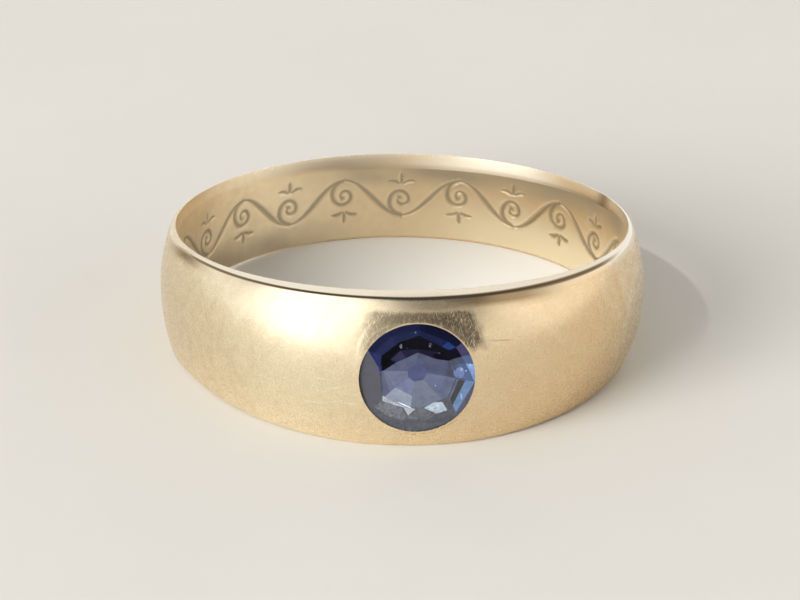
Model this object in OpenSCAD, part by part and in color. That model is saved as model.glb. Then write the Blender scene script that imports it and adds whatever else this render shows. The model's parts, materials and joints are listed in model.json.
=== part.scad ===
// Gold band ring with one round sapphire set flush in its wide front.
// It lies on its side as it would rest by itself: the finger hole points up, the stone faces -Y,
// and the wide front makes the band lean back a little.

/* [Band] */
// Radius of the finger hole
hole_r = 9.5; // [8.5:0.25:11]
// Width of the band at the stone
front_w = 6.6; // [6.4:0.1:8]
// Width of the band at the back
back_w = 3.9; // [3:0.1:5]
// How quickly the width falls away from the stone
width_fall = 1.5; // [1:0.1:2.5]
// Thickness of the metal at the stone
front_t = 2; // [1.9:0.05:2.4]
// Thickness of the metal at the back
back_t = 0.65; // [0.55:0.05:1]
// How quickly the thickness falls away from the stone
thick_fall = 3.6; // [1.5:0.1:4.5]
// Thickness of the band's edge at the stone
front_edge = 1.1; // [0.9:0.05:1.3]
// Thickness of the band's edge at the back
back_edge = 0.22; // [0.15:0.01:0.35]
// How quickly the edge thins away from the stone
edge_fall = 4.6; // [3:0.1:6]
// Wear on the outer edges, from the corner to where it ends
edge_wear = 0.14; // [0.05:0.01:0.2]

/* [Setting] */
// How far the collar's face lies under the band's highest line
collar_sink = 0.25; // [0.2:0.01:0.35]
// Radius at which the collar's slope meets the dome
collar_r = 2.92; // [2.8:0.02:3.1]
// Width of the collar's flat face round the stone
collar_face = 0.09; // [0.05:0.01:0.15]
// How far the lip reaches over the stone's girdle
lip_over = 0.07; // [0.05:0.01:0.1]
// Play between the stone and its seat
seat_gap = 0.04; // [0.03:0.01:0.06]
// Radius of the open hole behind the stone
back_hole_r = 1.25; // [1.22:0.01:1.4]

/* [Sapphire] */
// Radius of the girdle
stone_r = 2.42; // [2.3:0.02:2.46]
// Radius to the corners of the table
table_r = 1.655; // [1.5:0.005:1.7]
// Height of the table above the middle of the crown's rim
crown_h = 0.42; // [0.4:0.01:0.44]
// Height of the girdle
girdle_h = 0.2; // [0.18:0.01:0.22]
// Depth from the crown's rim to the step in the pavilion
step_depth = 1.05; // [1:0.01:1.1]
// Radius to the corners of the step
step_r = 1.15; // [1:0.01:1.18]
// Depth from the crown's rim to the culet
culet_depth = 1.22; // [1.15:0.01:1.25]
// Radius to the corners of the culet
culet_r = 0.35; // [0.2:0.01:0.45]

/* [Hidden] */
$fn = 96;
// Sections round the band, and points across the dome of each
sections = 144;
dome_points = 15;
// Radius where the width's rule starts and ends, and how deep the swept shape goes into the hole
width_reach = hole_r + 0.9;
into_hole = 0.4;
// Compass of the table's corners, and the slope of the crown facet that follows each corner
table_corners = [3, 36, 71, 115, 162, 208, 260, 315];
crown_slopes = [24, 24, 23, 20, 32, 21, 22, 25];
// Compass of the pavilion's ribs
rib_corners = [-2, 36, 88, 128, 169, 213, 262, 310];
facets = 8;
// Height of the lip's edge under the collar's face, and of the collar's face over the crown's rim
lip_edge = 0.05;
face_over_rim = 0.28;
// Side of the blocks that cut the facets
block = 12;

// Share of the front's value that is left at angle a from the stone
function share(a, power) = pow((1 + cos(a)) / 2, power);
function thickness(a) = back_t + (front_t - back_t) * share(a, thick_fall);
function edge(a) = back_edge + (front_edge - back_edge) * share(a, edge_fall);
function wear(a) = min(edge_wear, edge(a) * 0.6);
// Half of the band's width at a place y, from the stone's side to the back
function half_width(y) =
    back_w / 2
    + (front_w - back_w) / 2 * pow(max(0, min(1, (1 - y / width_reach) / 2)), width_fall);
// Half of the width at angle a and radius r
function half_at(a, r) = half_width(-r * cos(a));
function corner_r(a) = hole_r + edge(a);
// Radius of the arc across the dome, from its rise over its half width
function dome_arc(a) =
    let (h = half_at(a, corner_r(a)), rise = thickness(a) - edge(a))
    (h * h + rise * rise) / (2 * rise);
function dome_r(a, z) = hole_r + thickness(a) - dome_arc(a) + sqrt(pow(dome_arc(a), 2) - z * z);
// Where the worn edge ends on the dome
function dome_end(a) = half_at(a, corner_r(a)) - wear(a) * 0.85;
function worn_flat(a) = [corner_r(a) - wear(a), half_at(a, corner_r(a) - wear(a))];
function worn_corner(a) = [corner_r(a), half_at(a, corner_r(a))];
function worn_dome(a) = [dome_r(a, dome_end(a)), dome_end(a)];
function worn_middle(a) = (worn_flat(a) + 2 * worn_corner(a) + worn_dome(a)) / 4;
function below(p) = [p[0], -p[1]];
// Half of a section in radius and height: from the inside over the top edge
function upper_edge(a) = [
    [hole_r - into_hole, half_at(a, hole_r - into_hole)],
    worn_flat(a),
    worn_middle(a)
];
function dome(a) = [
    for (i = [0 : dome_points - 1])
        let (z = dome_end(a) * (1 - 2 * i / (dome_points - 1)))
        [dome_r(a, z), z]
];
function section(a) = concat(
    upper_edge(a),
    dome(a),
    [for (i = [2 : -1 : 0]) below(upper_edge(a)[i])]
);
function placed(a, p) = [p[0] * sin(a), -p[0] * cos(a), p[1]];

// Sections lie closer together towards the stone
function section_turn(i) = i * 360 / sections - 32 * sin(i * 360 / sections);
rows = [for (i = [0 : sections - 1]) section(section_turn(i))];

// Lean at which the front and the back of the lower edge touch the ground together
front_touch = [-worn_flat(0)[0], -worn_flat(0)[1]];
back_touch = [worn_flat(180)[0], -worn_flat(180)[1]];
lean = atan2(back_touch[1] - front_touch[1], back_touch[0] - front_touch[0]);
function leaning_height(a, p) = p[1] * cos(lean) + p[0] * cos(a) * sin(lean);
ground = min([
    for (i = [0 : sections - 1])
        for (p = rows[i])
            leaning_height(section_turn(i), p)
]);
// Heights along the stone's own axis, from the middle of the hole
rim_z = hole_r + front_t - collar_sink - face_over_rim;
face_z = rim_z + face_over_rim;
table_z = rim_z + crown_h;
// Farthest reach of the leaning ring to the front and to the back
table_low = max([for (corner = table_corners) -table_r * sin(corner)]);
front_reach = table_z * cos(lean) + table_low * sin(lean);
back_reach = (hole_r + back_t - dome_arc(180)) * cos(lean) + dome_arc(180);
// Lip and seat sizes round the stone
lip_r = stone_r - lip_over;
seat_r = stone_r + seat_gap;

// Stands a shape of the upright ring on the ground, centred front to back
module resting() {
    translate([0, (front_reach - back_reach) / 2, -ground])
        rotate([-lean, 0, 0])
            children();
}

// Turns a shape drawn upward so that it points out at the front of the ring
module at_front() {
    rotate([90, 0, 0])
        children();
}

// The band's outer shape, swept round the finger
module swept_band() {
    count = len(rows[0]);
    points = [
        for (i = [0 : sections - 1])
            for (p = rows[i])
                placed(section_turn(i), p)
    ];
    faces = [
        for (i = [0 : sections - 1])
            for (j = [0 : count - 1])
                let (
                    i2 = (i + 1) % sections,
                    j2 = (j + 1) % count,
                    a = i * count + j,
                    b = i2 * count + j,
                    c = i2 * count + j2,
                    d = i * count + j2
                )
                for (face = [[a, b, c], [a, c, d]])
                    face
    ];
    polyhedron(points, faces, convexity = 6);
}

// Raised collar round the stone, sloping down to the dome
module collar() {
    face_r = lip_r + collar_face;
    drop = collar_r - face_r;
    translate([0, 0, face_z - drop])
        cylinder(r1 = collar_r, r2 = face_r, h = drop);
}

// Room for the stone: lip, girdle wall, bearing and the open hole behind
module seat() {
    lip_low = face_z - lip_edge;
    wall_top = rim_z + crown_h / 2 - seat_gap / 2;
    wall_low = rim_z - girdle_h - step_depth / 5;
    bearing_low = rim_z - step_depth;
    translate([0, 0, lip_low])
        cylinder(r = lip_r, h = 2);
    translate([0, 0, wall_top])
        cylinder(r1 = seat_r, r2 = lip_r, h = lip_low - wall_top);
    translate([0, 0, wall_low])
        cylinder(r = seat_r, h = wall_top - wall_low);
    translate([0, 0, bearing_low])
        cylinder(r1 = back_hole_r, r2 = seat_r, h = wall_low - bearing_low);
    translate([0, 0, hole_r - 1])
        cylinder(r = back_hole_r, h = bearing_low - hole_r + 1);
}

// Gold band with its finger hole and the stone's seat
module band() {
    color("#dcc491")
        resting()
            difference() {
                union() {
                    swept_band();
                    at_front()
                        collar();
                }
                translate([0, 0, -front_w])
                    cylinder(r = hole_r, h = 2 * front_w);
                at_front()
                    seat();
            }
}

// Block that cuts away all beyond a plane: the plane passes radius r at height z in the compass
// direction turn, and tilts down by slope on the way out
module facet_cut(turn, r, z, slope) {
    rotate([0, 0, turn])
        translate([r, 0, z])
            rotate([0, slope, 0])
                translate([-block / 2, -block / 2, 0])
                    cube(block);
}

// Distance from the axis to the side of a polygon after corner i
function side_distance(corners, i, r) = r * cos(half_turn(corners, i));
function next_corner(corners, i) = i == facets - 1 ? corners[0] + 360 : corners[i + 1];
function half_turn(corners, i) = (next_corner(corners, i) - corners[i]) / 2;
function middle_turn(corners, i) = (next_corner(corners, i) + corners[i]) / 2;

// One ring of pavilion facets between an outer and an inner polygon
module pavilion_cuts(outer_r, outer_z, inner_r, inner_z, outer_is_round) {
    for (i = [0 : facets - 1]) {
        inner = side_distance(rib_corners, i, inner_r);
        outer = outer_is_round ? outer_r : side_distance(rib_corners, i, outer_r);
        slope = atan2(outer_z - inner_z, outer - inner);
        facet_cut(middle_turn(rib_corners, i), inner, inner_z, 180 - slope);
    }
}

// Sapphire with a table, eight crown facets, a step pavilion and a culet
module sapphire() {
    color("#39477e")
        resting()
            at_front()
                translate([0, 0, rim_z])
                    difference() {
                        translate([0, 0, -culet_depth])
                            cylinder(r = stone_r, h = culet_depth + crown_h);
                        for (i = [0 : facets - 1])
                            facet_cut(
                                middle_turn(table_corners, i),
                                side_distance(table_corners, i, table_r),
                                crown_h,
                                crown_slopes[i]
                            );
                        pavilion_cuts(stone_r, -girdle_h, step_r, -step_depth, true);
                        pavilion_cuts(step_r, -step_depth, culet_r, -culet_depth, false);
                    }
}

band();
sapphire();
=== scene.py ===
import json
import math
import bpy
from mathutils import Matrix, Vector, noise
from mathutils.kdtree import KDTree


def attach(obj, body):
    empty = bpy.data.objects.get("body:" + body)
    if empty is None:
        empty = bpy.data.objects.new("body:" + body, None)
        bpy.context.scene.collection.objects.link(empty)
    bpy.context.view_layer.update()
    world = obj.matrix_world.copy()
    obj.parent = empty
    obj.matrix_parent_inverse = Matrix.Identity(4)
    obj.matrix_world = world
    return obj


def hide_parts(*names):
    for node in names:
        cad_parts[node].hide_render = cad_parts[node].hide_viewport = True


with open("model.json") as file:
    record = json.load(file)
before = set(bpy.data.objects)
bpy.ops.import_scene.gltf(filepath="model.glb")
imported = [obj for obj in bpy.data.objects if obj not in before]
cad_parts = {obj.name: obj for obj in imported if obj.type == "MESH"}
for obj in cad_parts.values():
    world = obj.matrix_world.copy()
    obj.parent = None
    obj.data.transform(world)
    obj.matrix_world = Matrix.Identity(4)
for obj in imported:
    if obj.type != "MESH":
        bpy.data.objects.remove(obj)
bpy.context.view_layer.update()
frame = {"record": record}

# Pieces are modelled in millimetres in the ring's own frame: Z along the finger, the stone at -Y.
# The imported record's finger hole says how that frame leans on the floor.
mm = 0.001
fingerHole = frame["record"]["mounts"][0]
holeAxis = Vector(fingerHole["axis"])
lean = math.atan2(holeAxis.y, holeAxis.z)
leanBack = Matrix.Rotation(-lean, 4, "X")
ringToFloor = Matrix.Translation(fingerHole["pos_m"]) @ leanBack @ Matrix.Scale(mm, 4)
stoneToRing = Matrix.Rotation(math.radians(90), 4, "X")  # a stone drawn face up comes to face -Y
tinyGap = 0.001  # two points closer than this are one point
nearGap = 0.01  # a point closer than this to a surface is on it
cutGap = 0.00001  # a corner closer than this to a cut is on it
noiseEnds = (0.3, 0.7)  # nearly all values of a material's noise lie between these


# Camera
cameraSetup = {
    "place": (-0.01632, -0.26855, 0.13137),
    "turn": (64.288, -0.605, -3.165),
    "lens": 315.8,
    "sensor": 36.0,
    "nearest": 0.01,
    "farthest": 10,
}


def makeCamera():
    turn = [math.radians(value) for value in cameraSetup["turn"]]
    bpy.ops.object.camera_add(location=cameraSetup["place"], rotation=turn)
    camera = bpy.context.object
    camera.data.lens = cameraSetup["lens"]
    camera.data.sensor_width = cameraSetup["sensor"]
    camera.data.clip_start = cameraSetup["nearest"]
    camera.data.clip_end = cameraSetup["farthest"]
    bpy.context.scene.camera = camera
    print("camera: set at the photo's angle")


# Small helpers for modelling
def editAll():
    bpy.ops.object.mode_set(mode="EDIT")
    bpy.ops.mesh.select_all(action="SELECT")


# Goes into edit mode with the faces selected whose centre and normal are wanted
def editFaces(obj, isWanted):
    bpy.ops.object.mode_set(mode="EDIT")
    bpy.ops.mesh.select_mode(type="FACE")
    bpy.ops.mesh.select_all(action="DESELECT")
    bpy.ops.object.mode_set(mode="OBJECT")
    for face in obj.data.polygons:
        face.select = isWanted(face.center, face.normal)
    bpy.ops.object.mode_set(mode="EDIT")


def leaveEdit():
    bpy.ops.object.mode_set(mode="OBJECT")


def named(name):
    obj = bpy.context.object
    obj.name = name
    obj.data.name = name
    return obj


# Merges doubles and turns all faces outward
def makeOutward():
    editAll()
    bpy.ops.mesh.remove_doubles(threshold=tinyGap)
    bpy.ops.mesh.normals_make_consistent(inside=False)
    leaveEdit()


# Adds a round solid on +Z from (radius, height) pairs, by extruding and scaling a disc
def addTurned(name, outline, corners=96):
    radius, height = outline[0]
    bpy.ops.object.select_all(action="DESELECT")
    bpy.ops.mesh.primitive_circle_add(
        vertices=corners, radius=radius, fill_type="NGON", location=(0, 0, height)
    )
    turned = named(name)
    bpy.ops.object.transform_apply()
    editAll()
    for newRadius, newHeight in outline[1:]:
        bpy.ops.mesh.extrude_region_move(TRANSFORM_OT_translate={"value": (0, 0, newHeight - height)})
        scale = newRadius / radius
        bpy.ops.transform.resize(value=(scale, scale, 1), center_override=(0, 0, newHeight))
        radius, height = newRadius, newHeight
    leaveEdit()
    makeOutward()
    return turned


# Takes the tool's form out of the piece, and removes the tool
def cutAway(piece, tool):
    boolean = piece.modifiers.new("cut", "BOOLEAN")
    boolean.operation = "DIFFERENCE"
    boolean.solver = "EXACT"
    boolean.object = tool
    bpy.ops.object.select_all(action="DESELECT")
    bpy.context.view_layer.objects.active = piece
    piece.select_set(True)
    bpy.ops.object.modifier_apply(modifier="cut")
    bpy.data.objects.remove(tool)


# Brings a finished piece from the ring's frame to the floor, and smooths it up to an angle
def setDown(piece, smoothAngle):
    piece.data.transform(ringToFloor)
    bpy.ops.object.select_all(action="DESELECT")
    bpy.context.view_layer.objects.active = piece
    piece.select_set(True)
    bpy.ops.object.shade_smooth_by_angle(angle=math.radians(smoothAngle))


def smoothStep(low, high, value):
    t = max(0.0, min(1.0, (value - low) / (high - low)))
    return t * t * (3 - 2 * t)


# Share that grows from 0 to 1 between two limits, and one that falls from 1 to 0
def fadeIn(limits, value):
    return smoothStep(*limits, value)


def fadeOut(limits, value):
    return 1 - smoothStep(*limits, value)


# 1 at the middle, falling off softly over the spread
def nearTo(value, middle, spread):
    away = (value - middle) / spread
    return math.exp(-away * away)


# Noise over the ring's front; spread holds its scales along X and Z, and a layer of its own
def frontNoise(x, z, spread):
    return noise.noise(Vector((x * spread[0], z * spread[1], spread[2])))


def writeAttribute(mesh, name, values):
    layer = mesh.attributes.new(name, "FLOAT", "POINT")
    layer.data.foreach_set("value", values)


# Small helpers for materials
def newTree(name):
    material = bpy.data.materials.new(name)
    material.use_nodes = True
    material.node_tree.nodes.clear()
    return material, material.node_tree


# Adds a node: settings are its own choices, inputs are plain values or sockets to link
def addNode(tree, kind, settings, inputs):
    node = tree.nodes.new(kind)
    for name, value in settings.items():
        setattr(node, name, value)
    for name, value in inputs.items():
        if isinstance(value, bpy.types.NodeSocket):
            tree.links.new(value, node.inputs[name])
        else:
            node.inputs[name].default_value = value
    return node


def mathNode(tree, operation, first, second=0.0, third=0.0):
    values = {0: first, 1: second, 2: third}
    return addNode(tree, "ShaderNodeMath", {"operation": operation}, values).outputs[0]


def rangeNode(tree, value, fromLow, fromHigh, toLow, toHigh, kind="LINEAR"):
    values = {
        "Value": value, "From Min": fromLow, "From Max": fromHigh, "To Min": toLow, "To Max": toHigh
    }
    return addNode(tree, "ShaderNodeMapRange", {"interpolation_type": kind}, values).outputs["Result"]


def noiseNode(tree, place, scale, detail, roughness):
    values = {"Vector": place, "Scale": scale, "Detail": detail, "Roughness": roughness}
    return addNode(tree, "ShaderNodeTexNoise", {}, values).outputs["Fac"]


def mixNode(tree, factor, first, second, blend="MIX"):
    node = addNode(tree, "ShaderNodeMix", {"data_type": "RGBA", "blend_type": blend}, {})
    for socket, value in ((node.inputs[0], factor), (node.inputs[6], first), (node.inputs[7], second)):
        if isinstance(value, bpy.types.NodeSocket):
            tree.links.new(value, socket)
        else:
            socket.default_value = value
    return node.outputs[2]


def rampNode(tree, value, stops):
    ramp = addNode(tree, "ShaderNodeValToRGB", {}, {"Fac": value})
    elements = ramp.color_ramp.elements
    while len(elements) < len(stops):
        elements.new(0.5)
    for element, (position, colour) in zip(elements, stops):
        element.position = position
        element.color = (*colour, 1)
    return ramp.outputs[0]


def attributeNode(tree, name, output="Fac"):
    return addNode(tree, "ShaderNodeAttribute", {"attribute_name": name}, {}).outputs[output]


# X, Y and Z of a place
def axisNodes(tree, place):
    return tuple(addNode(tree, "ShaderNodeSeparateXYZ", {}, {0: place}).outputs)


def bumpNode(tree, height, strength, distance):
    values = {"Strength": strength, "Distance": distance, "Height": height}
    return addNode(tree, "ShaderNodeBump", {}, values).outputs[0]


def principledNode(tree, values):
    return addNode(tree, "ShaderNodeBsdfPrincipled", {}, values).outputs[0]


def outputNode(tree, surface):
    addNode(tree, "ShaderNodeOutputMaterial", {}, {"Surface": surface})


# Position in the ring's own frame, in millimetres
def ringPlaceNode(tree):
    coords = addNode(tree, "ShaderNodeTexCoord", {}, {}).outputs["Object"]
    centred = addNode(
        tree, "ShaderNodeMapping", {}, {"Vector": coords, "Location": [-v for v in fingerHole["pos_m"]]}
    ).outputs[0]
    values = {"Vector": centred, "Rotation": (lean, 0, 0), "Scale": (1 / mm, 1 / mm, 1 / mm)}
    return addNode(tree, "ShaderNodeMapping", {}, values).outputs[0]


# Band, in millimetres. A fall says how quickly a size goes from the front's value to the back's.
band = {
    "holeRadius": 9.5,
    "frontWidth": 6.6,
    "backWidth": 3.9,
    "widthFall": 1.5,
    "widthReach": 0.9,  # the width changes as far as this outside the finger hole
    "frontThick": 2.0,
    "backThick": 0.65,
    "thickFall": 3.6,
    "frontEdge": 1.1,
    "backEdge": 0.22,
    "edgeFall": 4.6,
    "domeFrom": 0.8,  # the dome lies outside this share of the edge's thickness
    "wear": 0.11,
    "wearDown": 0.85,  # how far the worn corner reaches down the dome, for each millimetre of wear
    "wearShare": 0.6,  # most of the edge that may be worn
    "flatLeast": 0.015,  # flat rim that stays between the bevel and the worn corner
    "sideWear": 0.08,  # more wear right of the stone
    "sideWearTurn": 32,  # turns are in degrees from the stone, to the right
    "sideWearSpread": 24,
    # Bevel along the finger hole's edge: its width on the rim, then its reach down the wall
    "frontBevel": 0.08,
    "backBevel": 0.15,
    "frontBevelReach": 0.12,
    "backBevelReach": 0.62,
    "lowerBevelReach": 0.15,
    "bevelFrame": 0.04,  # narrow strip of wall that keeps the bevel's edge crisp
    "steps": 240,
    "wallRows": 16,
    "bevelRows": 3,
    "wearRows": 5,
    "domeRows": 32,
    "smoothAngle": 40,
}
collar = {
    "face": 11.25,  # height of the collar's face from the middle of the finger hole
    "faceRadius": 2.44,
    "slope": 1.3,
    "blend": 0.06,  # how softly it meets the dome
    "reach": 3.3,  # the dome is divided finely this far from the stone's axis
    "blendReach": 3.7,
    "square": 2.6,  # how square its upper half is: 2 is round
    "squareFrom": 1.5,  # fully so from this height over the stone's middle
    "wobble": 0.02,
    "wobbleNoise": (1, 1, 5),
    "dents": 0.012,
    "dentNoise": (3, 3, 1),
    "cuts": 3,
}
# Seat of the stone: radii, and heights from the middle of the finger hole
seat = {
    "lip": 2.40,
    "lipEdge": 0.05,
    "wall": 2.47,
    "wallTop": 11.17,
    "wallLow": 10.56,
    "holeRadius": 1.25,
    "bearingLow": 9.92,
    "end": 8.5,
    "over": 1,  # the cut ends this far over the collar's face
}
# Brushed, dull patch over the stone: its limits, how soft they are and how its sides slant
patch = {
    "top": 2.88,
    "topFade": 0.2,
    "left": -2.5,
    "leftFade": (-0.3, 0.45),
    "leftSlant": 0.36,
    "leftFrom": 1.5,
    "right": 3.0,
    "rightFade": (0, 0.4),
    "rightSlant": 0.35,
    "rightFrom": 1.4,
    "low": (1.0, 1.45),
    "lip": (-0.03, 0.02),
    "ragged": 0.12,
    "raggedNoise": (4, 2.5, 3),
    "raggedTop": 0.4,  # share of that raggedness at the top
    "reach": 4.0,
    "deepest": 10.6,  # it ends at this distance from the middle of the finger hole
}
# The rim swells at the left, with a shallow dent under it
burr = {"turn": -80, "spread": 13, "swell": 0.16}
nick = {"turn": -69, "size": 0.7, "depth": 0.1, "under": 0.3, "outside": 0.08}


def frontShare(turn, power):
    return ((1 + math.cos(turn)) / 2) ** power


# A size of the band on its way from the back to the stone
def bandSize(name, turn, power=1):
    back, front = band["back" + name], band["front" + name]
    return back + (front - back) * frontShare(turn, power)


def thickness(turn):
    return bandSize("Thick", turn, band["thickFall"])


def edgeThickness(turn):
    swollen = burr["swell"] * nearTo(math.degrees(turn), burr["turn"], burr["spread"])
    return swollen + bandSize("Edge", turn, band["edgeFall"])


def halfWidth(turn, radius):
    reach = band["holeRadius"] + band["widthReach"]
    along = max(0, min(1, (1 + radius * math.cos(turn) / reach) / 2))
    extra = (band["frontWidth"] - band["backWidth"]) / 2
    return band["backWidth"] / 2 + extra * along ** band["widthFall"]


def wearSize(turn):
    nearSide = nearTo(math.degrees(turn), band["sideWearTurn"], band["sideWearSpread"])
    wear = band["wear"] + band["sideWear"] * nearSide
    edge = edgeThickness(turn)
    return min(wear, edge * band["wearShare"], edge - bandSize("Bevel", turn) - band["flatLeast"])


def domeRadius(turn, z):
    half = halfWidth(turn, band["holeRadius"] + edgeThickness(turn))
    rise = thickness(turn) - edgeThickness(turn)
    arc = (half * half + rise * rise) / (2 * rise)
    return band["holeRadius"] + thickness(turn) - arc + math.sqrt(arc * arc - z * z)


# Edge of a section as (radius, z) points: up the bevel, over the rim and round the worn corner
def edgeAt(turn, bevelReach):
    hole = band["holeRadius"]
    corner = hole + edgeThickness(turn)
    wear = wearSize(turn)
    bevel = bandSize("Bevel", turn)
    top = halfWidth(turn, hole + bevel)
    points = [(hole, top - bevelReach - band["bevelFrame"])]
    for i in range(band["bevelRows"] + 1):
        t = i / band["bevelRows"]
        points.append((hole + bevel * t, top - bevelReach * (1 - t)))
    flatEnd = (corner - wear, halfWidth(turn, corner - wear))
    cornerPoint = (corner, halfWidth(turn, corner))
    domeEnd = cornerPoint[1] - wear * band["wearDown"]
    guides = (flatEnd, cornerPoint, (domeRadius(turn, domeEnd), domeEnd))
    for i in range(band["wearRows"] + 1):
        t = i / band["wearRows"]
        shares = ((1 - t) ** 2, 2 * t * (1 - t), t * t)
        points.append(tuple(
            sum(share * guide[k] for share, guide in zip(shares, guides)) for k in (0, 1)
        ))
    return points


# One section: up the inner wall, over the rim, down the dome and back under
def sectionAt(turn):
    upper = edgeAt(turn, bandSize("BevelReach", turn))
    lower = [(radius, -z) for radius, z in reversed(edgeAt(turn, band["lowerBevelReach"]))]
    wallTop, wallLow = upper[0][1], lower[-1][1]
    wall, dome = [], []
    for i in range(1, band["wallRows"]):
        wall.append((band["holeRadius"], wallLow + (wallTop - wallLow) * i / band["wallRows"]))
    domeEnd = upper[-1][1]
    for i in range(1, band["domeRows"]):
        z = domeEnd * (1 - 2 * i / band["domeRows"])
        dome.append((domeRadius(turn, z), z))
    return wall + upper + dome + lower


def turnOf(point):
    return math.atan2(point.x, -point.y)


def atTurn(turn, radius, z):
    return Vector((radius * math.sin(turn), -radius * math.cos(turn), z))


# Height of the collar round the stone, along the stone's axis; the dome shows where it is higher
def collarHeight(x, z):
    away = (abs(x) ** collar["square"] + abs(z) ** collar["square"]) ** (1 / collar["square"])
    away = math.hypot(x, z) + (away - math.hypot(x, z)) * smoothStep(0, collar["squareFrom"], z)
    wobble = collar["wobble"] * frontNoise(x, z, collar["wobbleNoise"])
    height = collar["face"] - collar["slope"] * max(0, away - collar["faceRadius"] + wobble)
    return height + collar["dents"] * frontNoise(x, z, collar["dentNoise"])


# The higher of two heights, with a soft hollow where they meet
def smoothHigher(first, second, blend):
    gap = max(blend - abs(first - second), 0) / blend
    return max(first, second) + gap * gap * blend / 4


def isInnerWall(point):
    return abs(math.hypot(point.x, point.y) - band["holeRadius"]) < nearGap


# Spins one section round the finger, then gives it the sizes of each place
def sweepBand():
    section = sectionAt(0)
    bpy.ops.object.select_all(action="DESELECT")
    bpy.ops.mesh.primitive_circle_add(
        vertices=len(section),
        radius=band["frontThick"] / 2,
        fill_type="NOTHING",
        location=(0, -band["holeRadius"] - band["frontThick"] / 2, 0),
        rotation=(0, math.radians(90), 0),
    )
    ring = named("goldBand")
    bpy.ops.object.transform_apply()
    for vertex, (radius, z) in zip(ring.data.vertices, section):
        vertex.co = atTurn(0, radius, z)
    writeAttribute(ring.data, "sectionPoint", [float(i) for i in range(len(section))])
    editAll()
    bpy.ops.mesh.spin(steps=band["steps"], angle=math.radians(360), center=(0, 0, 0), axis=(0, 0, 1))
    leaveEdit()
    makeOutward()
    taperBand(ring)
    return ring


# Gives each spun vertex its place on the section of its own turn, told apart by quarter degrees
def taperBand(ring):
    places = ring.data.attributes["sectionPoint"].data
    sections = {}
    for vertex, place in zip(ring.data.vertices, places):
        turn = turnOf(vertex.co)
        key = round(math.degrees(turn) * 4)
        if key not in sections:
            sections[key] = sectionAt(turn)
        radius, z = sections[key][round(place.value)]
        vertex.co = atTurn(turn, radius, z)
    ring.data.attributes.remove(ring.data.attributes["sectionPoint"])


def nearStone(point, reach):
    return point.y < 0 and math.hypot(point.x, point.z) < reach


# Whether a point is on the dome, between the worn corners
def isDome(point):
    turn = turnOf(point)
    edge = edgeThickness(turn)
    domeEnd = halfWidth(turn, band["holeRadius"] + edge) - wearSize(turn) * band["wearDown"]
    isOutside = math.hypot(point.x, point.y) > band["holeRadius"] + edge * band["domeFrom"]
    return isOutside and abs(point.z) < domeEnd - 2 * nearGap


# Divides the dome finely round the stone and lifts the collar out of it
def raiseCollar(ring):
    editFaces(ring, lambda centre, normal: isDome(centre) and nearStone(centre, collar["reach"]))
    bpy.ops.mesh.subdivide(number_cuts=collar["cuts"])
    leaveEdit()
    for vertex in ring.data.vertices:
        point = vertex.co
        if not (nearStone(point, collar["blendReach"]) and isDome(point)):
            continue
        turn = turnOf(point)
        point = atTurn(turn, domeRadius(turn, point.z), point.z)
        raised = smoothHigher(-point.y, collarHeight(point.x, point.z), collar["blend"])
        if math.hypot(point.x, point.z) < seat["lip"]:
            raised = collar["face"]
        vertex.co = (point.x, -raised, point.z)


# Cuts the lip, the girdle's wall, the bearing and the open hole behind the stone
def cutSeat(ring):
    outline = [
        (seat["holeRadius"], seat["end"]),
        (seat["holeRadius"], seat["bearingLow"]),
        (seat["wall"], seat["wallLow"]),
        (seat["wall"], seat["wallTop"]),
        (seat["lip"], collar["face"] - seat["lipEdge"]),
        (seat["lip"], collar["face"] + seat["over"]),
    ]
    cutter = addTurned("seatCutter", outline)
    cutter.data.transform(stoneToRing)
    cutAway(ring, cutter)


# Engraved running scroll inside the back
scroll = {
    "from": 100,  # degrees from the stone
    "to": 262,
    "pitch": 2.55,
    "swing": 0.86,
    "volute": 0.72,  # radius where a volute leaves the wave, and its share that is left at the end
    "voluteEnd": 0.2,
    "voluteTurns": 1.35,
    "stroke": 0.18,  # half widths of the cut
    "thin": 0.08,
    "dot": 1.2,  # the dot that ends a volute, against the stroke's width
    "leafTurns": (-35, 0, 35),
    "leafRoot": 0.55,
    "leafGap": 0.18,
    "leafLength": 0.42,
    "leafBend": 0.5,
    "leafSwell": 0.05,
    "depth": 0.06,
    "rows": 1.2,  # the wall is divided finely up to this height and this many degrees past the ends
    "margin": 7,
    "cuts": 3,
    "nearest": 3,  # points of the strokes that a place on the wall is measured from
    "waveSteps": 90,
    "voluteSteps": 120,
    "leafSteps": 24,
}


# Points of one stroke as (along, up, half width of the cut)
def stroke(pointAt, widthAt, count):
    return [(*pointAt(i / count), widthAt(i / count)) for i in range(count + 1)]


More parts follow.
